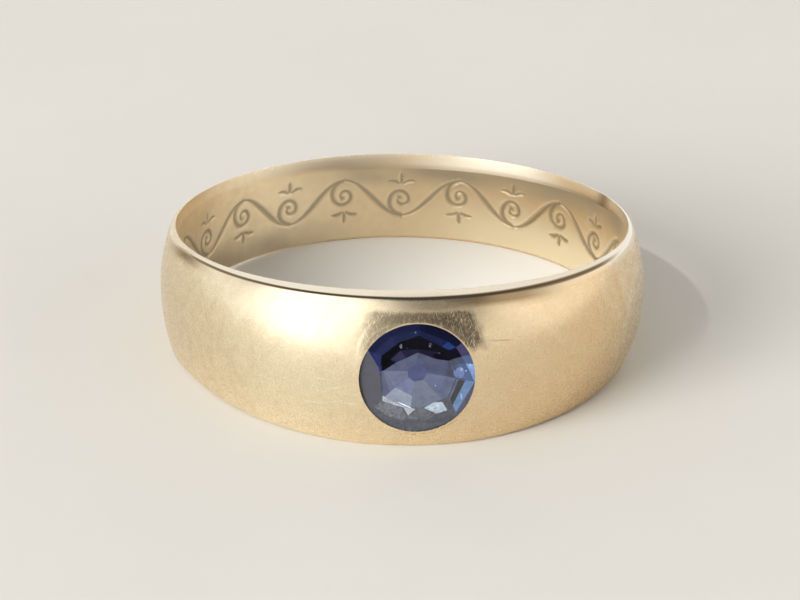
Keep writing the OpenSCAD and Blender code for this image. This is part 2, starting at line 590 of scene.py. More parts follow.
def scrollStrokes():
    hole = band["holeRadius"]
    start = math.radians(scroll["from"]) * hole
    end = math.radians(scroll["to"]) * hole
    pitch, swing, size = scroll["pitch"], scroll["swing"], scroll["volute"]
    count = int((end - start) / pitch)
    wide, thin = scroll["stroke"], scroll["thin"]
    strokes = []

    def swell(t):
        return thin + (wide - thin) * math.sin(math.pi * t) ** 2

    for k in range(count + 1):
        side = 1 if k % 2 == 0 else -1
        middle = start + k * pitch
        if k < count:
            strokes.append(stroke(
                lambda t: (middle + t * pitch, side * swing * math.cos(math.pi * t)),
                swell,
                scroll["waveSteps"],
            ))

        def volutePoint(t):
            bend = math.radians(90) - t * scroll["voluteTurns"] * 2 * math.pi
            radius = size * (scroll["voluteEnd"] ** t)
            centre = side * (swing - size)
            return middle + radius * math.cos(bend), centre + side * radius * math.sin(bend)

        strokes.append(stroke(volutePoint, lambda t: wide - (wide - thin) * t, scroll["voluteSteps"]))
        tip = volutePoint(1)
        strokes.append(stroke(lambda t: tip, lambda t: wide * scroll["dot"], 1))
        for spread in scroll["leafTurns"]:
            tilt = math.radians(90 + spread)
            root = (middle, -side * swing * scroll["leafRoot"])

            def leafPoint(t):
                reach = scroll["leafGap"] + scroll["leafLength"] * t
                bend = tilt + scroll["leafBend"] * t * math.copysign(1, spread) * (spread != 0)
                return root[0] + reach * math.cos(bend), root[1] - side * reach * math.sin(bend)

            def leafWidth(t):
                return thin + scroll["leafSwell"] * math.sin(math.pi * t)

            strokes.append(stroke(leafPoint, leafWidth, scroll["leafSteps"]))
    return strokes


# Pushes the wall outward under each stroke, and writes how deep the cut is there
def engraveScroll(ring):
    hole = band["holeRadius"]
    first = math.radians(scroll["from"] - scroll["margin"])
    last = math.radians(scroll["to"] + scroll["margin"])

    def isOrnament(point):
        turn = turnOf(point) % (2 * math.pi)
        return isInnerWall(point) and first < turn < last and abs(point.z) < scroll["rows"]

    editFaces(ring, lambda centre, normal: isOrnament(centre))
    bpy.ops.mesh.subdivide(number_cuts=scroll["cuts"])
    leaveEdit()
    samples = [sample for one in scrollStrokes() for sample in one]
    tree = KDTree(len(samples))
    for i, sample in enumerate(samples):
        tree.insert((*sample[:2], 0), i)
    tree.balance()
    cuts = []
    for vertex in ring.data.vertices:
        point = vertex.co
        cut = 0.0
        if isInnerWall(point):
            turn = turnOf(point)
            along = (turn % (2 * math.pi)) * hole
            for place, index, distance in tree.find_n((along, point.z, 0), scroll["nearest"]):
                cut = max(cut, 1 - distance / samples[index][2])
            vertex.co = atTurn(turn, hole + scroll["depth"] * cut, point.z)
        cuts.append(cut)
    writeAttribute(ring.data, "engraved", cuts)


# Share of the brushed, dull patch that hugs the stone's upper half
def brushedShare(x, z):
    ragged = patch["ragged"] * frontNoise(x, z, patch["raggedNoise"])
    top = smoothStep(0, patch["topFade"], patch["top"] - z + ragged * patch["raggedTop"])
    fromLeft = x - patch["left"] - patch["leftSlant"] * (z - patch["leftFrom"])
    fromRight = patch["right"] - x - patch["rightSlant"] * (z - patch["rightFrom"])
    sides = fadeIn(patch["leftFade"], fromLeft + ragged) * fadeIn(patch["rightFade"], fromRight + ragged)
    low = fadeIn(patch["low"], z + ragged)
    lip = fadeIn(patch["lip"], math.hypot(x, z) - collar["faceRadius"])
    return top * sides * low * lip


# Painted shade and painted light inside the band and on its rim, where the gold mirrors dark and bright
# surroundings. Pairs are the limits between which each one fades: along X to the right, along Y to the
# back, along Z upward, or down from the rim's top.
wallLook = {
    "cloud": 0.75,  # middle share of the painted shade, and how much it wanders
    "cloudWander": 0.6,
    "cloudScale": (0.5, 0.5, 1.2),
    "shadeRight": (-5, -1),
    "shadeDown": (0.75, 1.7),
    "shadeUp": (-1.9, -0.4),
    "shadeBack": (-2, 2),
    "lightRight": (-1, 5),
    "lightUp": (-1.4, 1.0),
    "lightBack": (-3, 2),
    "bevelShadeAt": -2.6,
    "bevelShadeSpread": 2.8,
    "bevelPaleFrom": (-0.5, 3.5),
    "bevelPaleTo": (5.5, 8.5),
    "bevelOver": 0.02,  # how far the bevel's own tones run past its lower edge
    # painted highlight on the rim, on its right side and on the back bevel
    "rimPale": 0.6,
    "rimDown": (0.02, 0.3),
    "rimRight": (-9, -2),
    "rimFront": 4,  # the painted highlight on the rim starts this much farther left at the front
    "sidePale": 0.6,
    "sideFrom": (50, 70),  # in degrees from the stone
    "sideTo": (100, 130),
    "sideDown": (0.15, 0.5),
    "wornEdge": (0.7, 1.5),  # from the worn corner, in parts of the wear
}
# Painted shade under the upper rim, a dark line where the worn corner mirrors dark surroundings, with
# turns in degrees from the stone, to the right. Down the line, 0 is where the worn corner starts and 1
# is where it ends.
rimPaintedShade = {
    "line": 0.55,
    "lineFrom": (0.12, 0.38),
    "lineTo": (0.85, 1.25),
    "moreRight": 0.45,
    "moreRightFrom": (12, 30),
    "moreLeft": 0.4,
    "moreLeftFrom": (10, 25),
    "rightEnd": (50, 66),
    "leftEnd": (62, 80),
    # painted shade in the dent at the left
    "dentShadeAt": -68,
    "dentShadeSpread": 9,
    "dentShadeTo": (1.6, 4.2),
    "wedge": 0.85,  # broad brown painted reflection right of the stone
    "wedgeFrom": (5, 15),
    "wedgeEnd": (24, 38),
    "wedgeTo": (2.2, 3.4),
    "markFrom": (0.3, 0.9),
    "inward": -0.2,  # the rim's flat top inside this gets none of this painted shade
}
bevelMark = {"turn": 112, "spread": 3.0, "share": 0.8}  # dark mark across the bevel at the back right


# Share of painted shade on the inner wall: under the bevel at the back and right, near the floor at the
# left
def wallShade(point, fromTop):
    spread = [part * scale for part, scale in zip(point, wallLook["cloudScale"])]
    wander = noise.noise(Vector(spread))
    cloud = wallLook["cloud"] + wallLook["cloudWander"] * wander
    right = fadeIn(wallLook["shadeRight"], point.x)
    high = fadeOut(wallLook["shadeDown"], fromTop)
    low = fadeOut(wallLook["shadeUp"], point.z)
    share = max(0.0, min(1.0, cloud * (high * right + low * (1 - right))))
    return share * fadeIn(wallLook["shadeBack"], point.y)


# Share of painted light on the inner wall's lower right
def wallLight(point):
    right = fadeIn(wallLook["lightRight"], point.x)
    low = fadeOut(wallLook["lightUp"], point.z)
    return right * low * fadeIn(wallLook["lightBack"], point.y)


# Share of painted highlight on the rim, and on the bevel at the back right, where bright surroundings
# are mirrored
def paintedRimHighlight(point, turn, fromTop, onBevel):
    right = fadeIn(wallLook["rimRight"], point.x + wallLook["rimFront"] * frontShare(turn, 1))
    pale = wallLook["rimPale"] * fadeOut(wallLook["rimDown"], fromTop) * right
    degrees = math.degrees(turn)
    side = fadeIn(wallLook["sideFrom"], degrees) * fadeOut(wallLook["sideTo"], degrees)
    pale += wallLook["sidePale"] * side * fadeOut(wallLook["sideDown"], fromTop)
    if onBevel:
        starting = fadeIn(wallLook["bevelPaleFrom"], point.x)
        pale = max(pale, starting * fadeOut(wallLook["bevelPaleTo"], point.x))
    return min(pale, 1.0)


def isBackBevel(point, radius, fromTop):
    isBack = point.z > 0 and point.y > 0
    reach = bandSize("BevelReach", turnOf(point)) + wallLook["bevelOver"]
    return isBack and fromTop < reach and radius - band["holeRadius"] < band["backBevel"]


# Share of the painted shade under the upper rim: a dark line, painted shade in the dent at the left, and
# a brown painted reflection right of the stone
def rimLine(turn, down):
    line = fadeIn(rimPaintedShade["lineFrom"], down) * fadeOut(rimPaintedShade["lineTo"], down)
    strength = rimPaintedShade["line"] + rimPaintedShade["moreRight"] * fadeIn(rimPaintedShade["moreRightFrom"], turn)
    strength += rimPaintedShade["moreLeft"] * fadeIn(rimPaintedShade["moreLeftFrom"], -turn)
    ends = fadeOut(rimPaintedShade["rightEnd"], turn) * fadeOut(rimPaintedShade["leftEnd"], -turn)
    dentShade = nearTo(turn, rimPaintedShade["dentShadeAt"], rimPaintedShade["dentShadeSpread"])
    dentShade *= fadeOut(rimPaintedShade["dentShadeTo"], down)
    wedge = rimPaintedShade["wedge"] * fadeIn(rimPaintedShade["wedgeFrom"], turn) * fadeOut(rimPaintedShade["wedgeEnd"], turn)
    wedge *= fadeOut(rimPaintedShade["wedgeTo"], down)
    mark = max(dentShade, wedge) * fadeIn(rimPaintedShade["markFrom"], down)
    return min(1.0, max(line * strength * ends, mark))


# Share of each finish, painted shade and painted light at one point of the band, by the name that its
# material reads
def finishAndPaintedLightAt(point):
    turn = turnOf(point)
    degrees = math.degrees(turn)
    radius = math.hypot(point.x, point.y)
    corner = band["holeRadius"] + edgeThickness(turn)
    cornerTop = halfWidth(turn, corner)
    wear = wearSize(turn)
    fromTop = halfWidth(turn, radius) - point.z
    fromCorner = math.hypot(radius - corner, abs(point.z) - cornerTop)
    onBevel = isBackBevel(point, radius, fromTop)
    shares = {
        "brushedShare": 0.0,
        "wornEdge": fadeOut(wallLook["wornEdge"], fromCorner / wear),
        "rimLine": 0.0,
        "rimHighlight": paintedRimHighlight(point, turn, fromTop, onBevel),
        "wallShade": 0.0,
        "wallLight": 0.0,
    }
    if nearStone(point, patch["reach"]) and radius > patch["deepest"]:
        shares["brushedShare"] = brushedShare(point.x, point.z)
    if isInnerWall(point):
        shares["wallShade"] = wallShade(point, fromTop)
        shares["wallLight"] = wallLight(point)
    elif onBevel:
        # painted shade on the back bevel
        shares["wallShade"] = nearTo(point.x, wallLook["bevelShadeAt"], wallLook["bevelShadeSpread"])
    down = (cornerTop - point.z) / (band["wearDown"] * wear)
    across = (radius - corner) / wear + 1
    if onBevel:
        shares["rimLine"] = bevelMark["share"] * nearTo(degrees, bevelMark["turn"], bevelMark["spread"])
    elif across > rimPaintedShade["inward"]:
        shares["rimLine"] = rimLine(degrees, (down + across) / 2)
    return shares


# Writes each finish, painted shade and painted light where the material can read it
def writeFinishAndPaintedLight(ring):
    finishAndLightShares = [finishAndPaintedLightAt(vertex.co) for vertex in ring.data.vertices]
    for name in finishAndLightShares[0]:
        writeAttribute(ring.data, name, [shares[name] for shares in finishAndLightShares])


# Shallow dent under the swollen rim
def dentNick(ring):
    turn = math.radians(nick["turn"])
    radius = band["holeRadius"] + edgeThickness(turn)
    middle = atTurn(turn, radius + nick["outside"], halfWidth(turn, radius) - nick["under"])
    outward = atTurn(turn, 1, 0)
    for vertex in ring.data.vertices:
        away = (vertex.co - middle).length / nick["size"]
        if away < 1:
            vertex.co -= outward * (1 - away * away) ** 2 * nick["depth"]


goldLook = {
    # Colour from left to right across the ring, at shares of its width: paler on the left, which catches
    # the light, and deeper on the shaded right, as painted light and shade
    "tones": (
        (0.0, (0.81, 0.66, 0.44)),
        (0.223, (1.0, 0.87, 0.63)),
        (0.471, (0.87, 0.715, 0.48)),
        (0.857, (0.765, 0.565, 0.32)),
        (1.0, (0.87, 0.75, 0.55)),
    ),
    "toneEnds": (-10, 11),
    "toneWander": 0.05,
    "wanderEnds": (0.35, 0.65),
    # painted shade and painted light inside the band
    "wallShade": (0.54, 0.46, 0.34, 1),
    "wallLight": (1.0, 0.88, 0.63, 1),
    "tarnish": (0.35, 0.31, 0.23, 1),
    "tarnishEnds": (0.1, 0.8),  # parts of the engraving's depth between which the tarnish sets in
    "tarnishShare": 0.75,
    # painted shade under the rim; the dark scratches take this colour too
    "rimLine": (0.29, 0.195, 0.09, 1),
    # painted highlight on the rim and on the back bevel
    "rimHighlight": (0.97, 0.88, 0.72, 1),
    "brushed": (0.33, 0.275, 0.18, 1),
    # painted shade: the dull patch darkens to the right
    "brushedShadedRight": (0.115, 0.087, 0.052, 1),
    "brushedEnds": (-2.5, 1.2),
    "brushedMetal": 0.6,  # how much less metallic the dull patch is
    "brushedRough": 0.12,
    "strokeSize": (0.05, 0.25, 0.4),  # tool strokes over the dull patch
    "strokeTilts": (0.5, -0.4),
    "strokeNoise": (1.0, 4, 0.8),
    "strokeEnds": (0.55, 0.66),
    "strokeBump": 8.0,
    "roughness": (0.25, 0.295),
    "innerRough": 0.15,  # more roughness on the inner wall, fading out through the metal
    "innerEnds": (0.02, 0.15),
    "wornRough": 0.75,  # roughness of the worn edges against the rest
    # Noises, from the largest to the finest: scale, detail and roughness
    "patches": (0.55, 3, 0.6),
    "mottle": (2.2, 1.5, 0.5),
    "grain": (6.0, 1.5, 0.5),
    "brush": (9.0, 3, 0.7),
    "brushStretch": (0.12, 0.12, 1.6),
    "brushHeight": 0.5,
    "grainHeight": 0.4,
    "bump": 0.04,
    "bumpDepth": 0.00002,
    # Fine scratches beside the stone, from (x, z) to (x, z) as seen from the front, and their share;
    # a share below zero is a dark one
    "scratches": (
        ((-4.33, -0.15), (-3.50, -0.25), 0.9),
        ((-3.65, -0.60), (-3.10, -0.50), 0.9),
        ((-4.15, -0.75), (-3.70, -0.80), 0.8),
        ((-4.75, -1.42), (-3.60, -1.28), 0.9),
        ((-3.60, -1.28), (-2.98, -1.08), 0.9),
        ((-3.15, -1.22), (-2.40, -1.20), 0.8),
        ((2.80, 1.48), (4.10, 1.30), -0.35),
    ),
    "scratchLight": (1.0, 0.96, 0.77, 1),
    "scratchEnds": (0.25, 0.5),  # it fades here, in parts of its length from its middle
    "scratchSides": (0.015, 0.04),
    "scratchDepth": 0.3,  # they lie farther than this outside the finger hole
}


# Mask of one thin straight scratch, fading towards both ends
def scratchNode(tree, axes, start, end, share):
    length = math.dist(start, end)
    across, up = (end[0] - start[0]) / length, (end[1] - start[1]) / length
    x = mathNode(tree, "SUBTRACT", axes[0], (start[0] + end[0]) / 2)
    z = mathNode(tree, "SUBTRACT", axes[2], (start[1] + end[1]) / 2)
    along = mathNode(tree, "MULTIPLY_ADD", x, across, mathNode(tree, "MULTIPLY", z, up))
    aside = mathNode(tree, "MULTIPLY_ADD", x, -up, mathNode(tree, "MULTIPLY", z, across))
    fading = (length * part for part in goldLook["scratchEnds"])
    ends = rangeNode(tree, mathNode(tree, "ABSOLUTE", along), *fading, share, 0)
    sides = rangeNode(tree, mathNode(tree, "ABSOLUTE", aside), *goldLook["scratchSides"], 1, 0)
    hole = band["holeRadius"]
    onDome = rangeNode(tree, axes[1], -hole - goldLook["scratchDepth"], -hole, 1, 0)
    return mathNode(tree, "MULTIPLY", mathNode(tree, "MULTIPLY", ends, sides), onDome)


# Short strokes of a tool, all tilted the same way
def strokesNode(tree, place, tilt):
    values = {"Vector": place, "Rotation": (0, tilt, 0), "Scale": goldLook["strokeSize"]}
    tilted = addNode(tree, "ShaderNodeMapping", {"vector_type": "TEXTURE"}, values).outputs[0]
    return noiseNode(tree, tilted, *goldLook["strokeNoise"])


# Roughness that the inner wall has more than the outside
def innerRoughNode(tree, axes):
    flat = addNode(tree, "ShaderNodeCombineXYZ", {}, {"X": axes[0], "Y": axes[1], "Z": 0.0}).outputs[0]
    length = addNode(tree, "ShaderNodeVectorMath", {"operation": "LENGTH"}, {0: flat})
    start, end = (band["holeRadius"] + depth for depth in goldLook["innerEnds"])
    return rangeNode(tree, length.outputs["Value"], start, end, goldLook["innerRough"], 0)


def goldMaterial():
    material, tree = newTree("wornGold")
    place = ringPlaceNode(tree)
    axes = axisNodes(tree, place)
    values = {"Vector": place, "Scale": goldLook["brushStretch"]}
    stretched = addNode(tree, "ShaderNodeMapping", {}, values).outputs[0]
    patches, mottle, grain = (
        noiseNode(tree, place, *goldLook[name]) for name in ("patches", "mottle", "grain")
    )
    brush = noiseNode(tree, stretched, *goldLook["brush"])
    brushed = attributeNode(tree, "brushedShare")
    # Tones from left to right, painted lighter on the left and darker on the shaded right, and the
    # finishes and painted light and shade over them
    wander = goldLook["toneWander"]
    tone = mathNode(tree, "MULTIPLY_ADD", mottle, 0.5, mathNode(tree, "MULTIPLY", patches, 0.5))
    tone = rangeNode(tree, tone, *goldLook["wanderEnds"], -wander, wander)
    sideways = rangeNode(tree, axes[0], *goldLook["toneEnds"], 0, 1)
    colour = rampNode(tree, mathNode(tree, "ADD", sideways, tone), goldLook["tones"])
    engraved = attributeNode(tree, "engraved")
    dirt = rangeNode(tree, engraved, *goldLook["tarnishEnds"], 0, goldLook["tarnishShare"])
    colour = mixNode(tree, dirt, colour, goldLook["tarnish"])
    # painted shade and painted light: inside the band, on the rim and under it
    for name in ("wallShade", "wallLight", "rimHighlight", "rimLine"):
        colour = mixNode(tree, attributeNode(tree, name), colour, goldLook[name])
    # Strokes over the dull patch round the stone, darker to the right: the patch is dull tarnished
    # metal, and its darkening to the right is painted shade
    leanLeft, leanRight = (strokesNode(tree, place, tilt) for tilt in goldLook["strokeTilts"])
    strokes = mathNode(tree, "MAXIMUM", leanLeft, leanRight)
    toRight = rangeNode(tree, axes[0], *goldLook["brushedEnds"], 0, 1)
    dullGold = mixNode(tree, toRight, goldLook["brushed"], goldLook["brushedShadedRight"])
    strokeTone = rangeNode(tree, strokes, *goldLook["strokeEnds"], 1.0, 0.0)
    brushedCover = mathNode(tree, "MULTIPLY", brushed, strokeTone)
    colour = mixNode(tree, brushedCover, colour, dullGold)
    for start, end, share in goldLook["scratches"]:
        light = goldLook["scratchLight"] if share > 0 else goldLook["rimLine"]
        colour = mixNode(tree, scratchNode(tree, axes, start, end, abs(share)), colour, light)
    rough = rangeNode(tree, grain, *noiseEnds, *goldLook["roughness"])
    rough = mathNode(tree, "MULTIPLY_ADD", brushed, goldLook["brushedRough"], rough)
    rough = mathNode(tree, "ADD", rough, innerRoughNode(tree, axes))
    worn = rangeNode(tree, attributeNode(tree, "wornEdge"), 0, 1, 1, goldLook["wornRough"])
    rough = mathNode(tree, "MULTIPLY", rough, worn)
    metal = mathNode(tree, "MULTIPLY_ADD", brushedCover, -goldLook["brushedMetal"], 1.0)
    grainHeight = mathNode(tree, "MULTIPLY", grain, goldLook["grainHeight"])
    height = mathNode(tree, "MULTIPLY_ADD", brush, goldLook["brushHeight"], grainHeight)
    strokeHeight = mathNode(tree, "MULTIPLY", brushed, goldLook["strokeBump"])
    height = mathNode(tree, "MULTIPLY_ADD", strokes, strokeHeight, height)
    bump = bumpNode(tree, height, goldLook["bump"], goldLook["bumpDepth"])
    outputNode(tree, principledNode(tree, {
        "Base Color": colour, "Metallic": metal, "Roughness": rough, "Normal": bump
    }))
    return material


def makeBand():
    ring = sweepBand()
    raiseCollar(ring)
    print("band: swept, with its collar,", len(ring.data.vertices), "points")
    engraveScroll(ring)
    print("band: scroll engraved,", len(ring.data.vertices), "points")
    cutSeat(ring)
    dentNick(ring)
    writeFinishAndPaintedLight(ring)
    setDown(ring, band["smoothAngle"])
    ring.data.materials.clear()
    ring.data.materials.append(goldMaterial())
    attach(ring, "root")
    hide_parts("band")
    print("band: seat cut and finish written,", len(ring.data.polygons), "faces")


# Sapphire
sapphire = {
    "girdleRadius": 2.44,
    "rim": 11.12,  # the crown's rim, from the middle of the finger hole
    "tableRadius": 1.655,
    "crownHeight": 0.27,
    "girdleHeight": 0.2,
    "girdleCorners": 96,
    "tableCorners": (3, 36, 71, 115, 162, 208, 260, 315),
    "crownSlopes": (16, 15.5, 14, 9, 19, 14, 14.5, 16.5),
    "glow": 1.07,  # how strongly the pavilion sends its tones back
    "steepest": 0.15,  # a face whose normal rises less than this is the girdle's
    "wornBelow": -0.3,  # the crown is worn under this height, as seen from the front
    "flawNoise": 9,
    "flawUneven": 0.3,
    "smoothAngle": 3,
}
# Skins of the crown's facets and the girdle: share of dull skin, its tone, its speckle. The dull skin is
# worn, frosted stone, and its grey tones are partly painted reflection
clearSkin = (0.0, (0.0, 0.0, 0.0), 0.0)
chipSkin = (0.94, (0.058, 0.062, 0.079), 0.6)
crownSkins = (
    clearSkin,
    clearSkin,
    clearSkin,
    clearSkin,
    (0.94, (0.055, 0.056, 0.064), 0.12),
    chipSkin,
    (0.93, (0.072, 0.081, 0.102), 0.5),
    (0.10, (0.09, 0.09, 0.12), 0.3),
)
girdleSkin = (0.5, (0.1, 0.1, 0.12), 0.3)
# Chipped facets along the table's lower edge: compass, distance from the axis and slope of the cut
chips = ((238, 1.342, 4), (265, 1.34, 9), (275, 1.32, 9), (294, 1.24, 11))
# Worn places there, some bright with painted reflection: outline as seen from the front, and skin
crownWearAndReflections = (
    {
        "outline": ((-1.42, -0.70), (-0.60, -1.22), (-0.62, -1.29), (-1.10, -1.08), (-1.42, -0.98)),
        "skin": (0.95, (0.32, 0.345, 0.415), 0.6),
    },
    {
        "outline": ((-0.56, -1.24), (-0.07, -1.31), (-0.36, -1.63)),
        "skin": (0.96, (0.325, 0.345, 0.42), 0.3),
    },
    {
        "outline": (
            (-0.07, -1.31), (0.29, -1.28), (0.80, -1.58), (0.45, -1.86), (-0.38, -1.78), (-0.36, -1.63)
        ),
        "skin": (0.93, (0.086, 0.090, 0.106), 1.0),
    },
    {
        "outline": ((0.29, -1.28), (0.70, -1.03), (1.04, -1.03), (1.26, -1.44), (0.80, -1.58)),
        "skin": (0.97, (0.33, 0.40, 0.485), 0.7),
    },
    {
        "outline": (
            (-1.76, -1.26), (-1.46, -0.99), (-1.10, -1.04), (-0.62, -1.29), (-0.40, -1.72),
            (-0.62, -1.86), (-1.20, -1.66)
        ),
        "skin": (0.94, (0.104, 0.110, 0.130), 1.0),
    },
)
# The pavilion's ribs: compass, then the radius of each corner, from the culet outward
pavilionRibs = (
    (-7, 0.46, 1.27, 1.64, 1.95, 2.38),
    (13, 0.42, 1.32, 1.47, 1.61, 2.00),
    (23, 0.40, 1.42, 1.46, 1.54, 1.93),
    (36, 0.36, 1.01, 1.25, 1.60, 1.92),
    (48, 0.35, 0.91, 1.27, 1.44, 1.84),
    (86, 0.34, 0.89, 1.05, 1.60, 1.90),
    (122, 0.32, 0.76, 1.20, 1.47, 1.95),
    (150, 0.32, 0.94, 1.24, 1.60, 2.00),
    (174, 0.34, 1.37, 1.40, 1.44, 2.10),
    (217, 0.40, 1.07, 1.36, 1.72, 2.12),
    (261, 0.43, 1.05, 1.52, 1.75, 2.10),
    (312, 0.46, 1.35, 1.78, 2.00, 2.30),
)
# Depths under the crown's rim, and radii
pavilionDepth = {
    "culet": 1.22,
    "culetFace": 0.03,  # faces lower than this over the culet are its own
    "step": 1.05,
    "culetRadius": 0.35,
    "stepRadius": 1.12,
}
# tones of the pavilion's painted glow
greyBlue = (0.090, 0.100, 0.160)
steelBlue = (0.110, 0.122, 0.186)
dullBlue = (0.076, 0.080, 0.112)
violet = (0.015, 0.013, 0.035)
black = (0.003, 0.0025, 0.002)
navy = (0.013, 0.018, 0.056)
# Painted glow of each facet, the light and dark it sends back through the table, from one rib to the
# next, from the culet outward
pavilionGlowTones = (
    (greyBlue, dullBlue, (0.090, 0.110, 0.175), (0.095, 0.140, 0.265), (0.240, 0.350, 0.620)),
    (greyBlue, dullBlue, dullBlue, (0.075, 0.090, 0.140), (0.095, 0.130, 0.240)),
    (greyBlue, (0.004, 0.001, 0.005), black, (0.004, 0.001, 0.006), (0.060, 0.052, 0.115)),
    (greyBlue, (0.004, 0.002, 0.008), black, (0.014, 0.041, 0.180), (0.003, 0.003, 0.018)),
    (greyBlue, (0.012, 0.009, 0.026), black, (0.009, 0.012, 0.046), (0.003, 0.003, 0.016)),
    (steelBlue, violet, black, navy, (0.009, 0.011, 0.040)),
    (steelBlue, (0.031, 0.031, 0.072), black, (0.018, 0.023, 0.072), (0.011, 0.014, 0.045)),
    (steelBlue, black, black, (0.026, 0.030, 0.105), (0.018, 0.022, 0.080)),
    (
        (0.175, 0.188, 0.279), (0.15, 0.165, 0.24), (0.12, 0.13, 0.19), (0.08, 0.085, 0.12),
        (0.06, 0.065, 0.10),
    ),
    (
        (0.191, 0.216, 0.328), (0.319, 0.352, 0.423), (0.30, 0.33, 0.40), (0.15, 0.16, 0.20),
        (0.10, 0.10, 0.13),
    ),
    (
        (0.191, 0.212, 0.258), (0.175, 0.20, 0.25), (0.15, 0.17, 0.21), (0.10, 0.10, 0.13),
        (0.09, 0.09, 0.12),
    ),
    (
        (0.150, 0.168, 0.258), (0.14, 0.155, 0.22), (0.060, 0.060, 0.060), (0.165, 0.26, 0.44),
        (0.10, 0.10, 0.15),
    ),
)
# painted glow of the culet
culetGlowTone = (0.092, 0.106, 0.198)
# Crystals and flaws inside, glowing in their tone as painted glints: compass, radius, height, then size
# along, across and deep, turn and tone
inclusions = (
    (4, 1.72, -0.40, (0.20, 0.23, 0.07), 0, (0.17, 0.215, 0.40)),
    (8, 1.80, -0.28, (0.05, 0.07, 0.02), 10, (0.42, 0.46, 0.56)),
    (6, 2.00, -0.18, (0.04, 0.03, 0.02), 0, (0.50, 0.56, 0.66)),
    (12, 2.22, -0.12, (0.03, 0.06, 0.02), 10, (0.50, 0.66, 0.80)),
    (333, 2.02, -0.30, (0.04, 0.14, 0.03), 10, (0.38, 0.46, 0.72)),
    (117, 1.44, -0.40, (0.055, 0.035, 0.02), 60, (0.24, 0.25, 0.28)),
    (108, 1.30, -0.40, (0.03, 0.03, 0.02), 0, (0.06, 0.06, 0.10)),
    (68, 1.42, -0.40, (0.028, 0.045, 0.02), 20, (0.26, 0.27, 0.31)),
    (92, 1.88, -0.30, (0.026, 0.036, 0.015), 0, (0.20, 0.30, 0.42)),
    (47, 1.34, -0.50, (0.06, 0.03, 0.02), -20, (0.10, 0.05, 0.05)),
    (326, 0.95, -0.80, (0.04, 0.04, 0.03), 0, (0.26, 0.33, 0.52)),
    (246, 1.25, 0.258, (0.33, 0.024, 0.006), -27, (0.95, 0.96, 1.0)),
    (235, 1.36, 0.250, (0.44, 0.024, 0.006), -31, (0.88, 0.89, 0.94)),
)


# Compass of the middle of each side of a polygon, and half of the turn that the side takes
def facetTurns(corners):
    for i, corner in enumerate(corners):
        following = corners[(i + 1) % len(corners)] + (360 if i + 1 == len(corners) else 0)
        yield math.radians((corner + following) / 2), math.radians((following - corner) / 2)


# Direction that a cut faces, from its compass and its slope down outward
def cutNormal(turn, slope):
    outward = Vector((math.cos(turn), math.sin(turn), 0))
    return outward * math.sin(slope) + Vector((0, 0, math.cos(slope)))


# Cuts the stone by a plane through (radius, height) in the compass direction turn
def cutFacet(turn, radius, height, slope):
    outward = Vector((math.cos(turn), math.sin(turn), 0))
    bpy.ops.mesh.select_all(action="SELECT")
    bpy.ops.mesh.bisect(
        plane_co=outward * radius + Vector((0, 0, height)),
        plane_no=cutNormal(turn, slope),
        use_fill=True,
        clear_outer=True,
        threshold=cutGap,
    )


# Compass, distance from the axis and slope of each cut of the crown
def crownCuts():
    cuts = []
    for (turn, half), slope in zip(facetTurns(sapphire["tableCorners"]), sapphire["crownSlopes"]):
        cuts.append((turn, sapphire["tableRadius"] * math.cos(half), math.radians(slope)))
    for turn, radius, slope in chips:
        cuts.append((math.radians(turn), radius, math.radians(slope)))
    return cuts


# Scores the crown's lower half along each side of an outline, so that the outline is made of whole faces
def scoreOutline(stone, outline):
    def isWorn(centre, normal):
        isTable = normal.z > 1 - tinyGap
        return normal.z > sapphire["steepest"] and (centre.y < sapphire["wornBelow"] or isTable)

    for start, end in zip(outline, outline[1:] + outline[:1]):
        editFaces(stone, isWorn)
        bpy.ops.mesh.bisect(
            plane_co=(*start, 0), plane_no=(start[1] - end[1], end[0] - start[0], 0), threshold=cutGap
        )
        leaveEdit()


# Whether a point lies on the same side of all the sides of an outline
def isInside(outline, point):
    sides = [
        (end[0] - start[0]) * (point.y - start[1]) - (end[1] - start[1]) * (point.x - start[0])
        for start, end in zip(outline, outline[1:] + outline[:1])
    ]
    return max(sides) < 10 * cutGap or min(sides) > -10 * cutGap


def addCrown():
    bpy.ops.object.select_all(action="DESELECT")
    height = sapphire["crownHeight"] + sapphire["girdleHeight"]
    bpy.ops.mesh.primitive_cylinder_add(
        vertices=sapphire["girdleCorners"],
        radius=sapphire["girdleRadius"],
        depth=height,
        location=(0, 0, sapphire["crownHeight"] - height / 2),
    )
    stone = named("sapphireStone")
    bpy.ops.object.transform_apply()
    editAll()
    for turn, radius, slope in crownCuts():
        cutFacet(turn, radius, sapphire["crownHeight"], slope)
    leaveEdit()
    for worn in crownWearAndReflections:
        scoreOutline(stone, worn["outline"])
    low = -sapphire["girdleHeight"] + tinyGap
    editFaces(stone, lambda centre, normal: centre.z < low)
    bpy.ops.mesh.delete(type="ONLY_FACE")
    leaveEdit()
    return stone


# Height of the pavilion at a radius: steep from the girdle to the step, then flat to the culet
def pavilionHeight(radius):
    culet, step, girdle = pavilionDepth["culet"], pavilionDepth["step"], sapphire["girdleHeight"]
    culetRadius, stepRadius = pavilionDepth["culetRadius"], pavilionDepth["stepRadius"]
    if radius < stepRadius:
        return -culet + (culet - step) * max(0, radius - culetRadius) / (stepRadius - culetRadius)
    return -step + (step - girdle) * (radius - stepRadius) / (sapphire["girdleRadius"] - stepRadius)


def ribCorner(rib, ring):
    turn, radius = math.radians(rib[0]), rib[1 + ring]
    return Vector((radius * math.cos(turn), radius * math.sin(turn), pavilionHeight(radius)))


# Puts the corners of a ring in the order of the ribs
def byCompass(mesh, indices):
    start = math.radians(pavilionRibs[0][0] - 10)  # a little before the first rib

    def compass(index):
        place = mesh.vertices[index].co
        return (math.atan2(place.y, place.x) - start) % (2 * math.pi)

    return sorted(indices, key=compass)


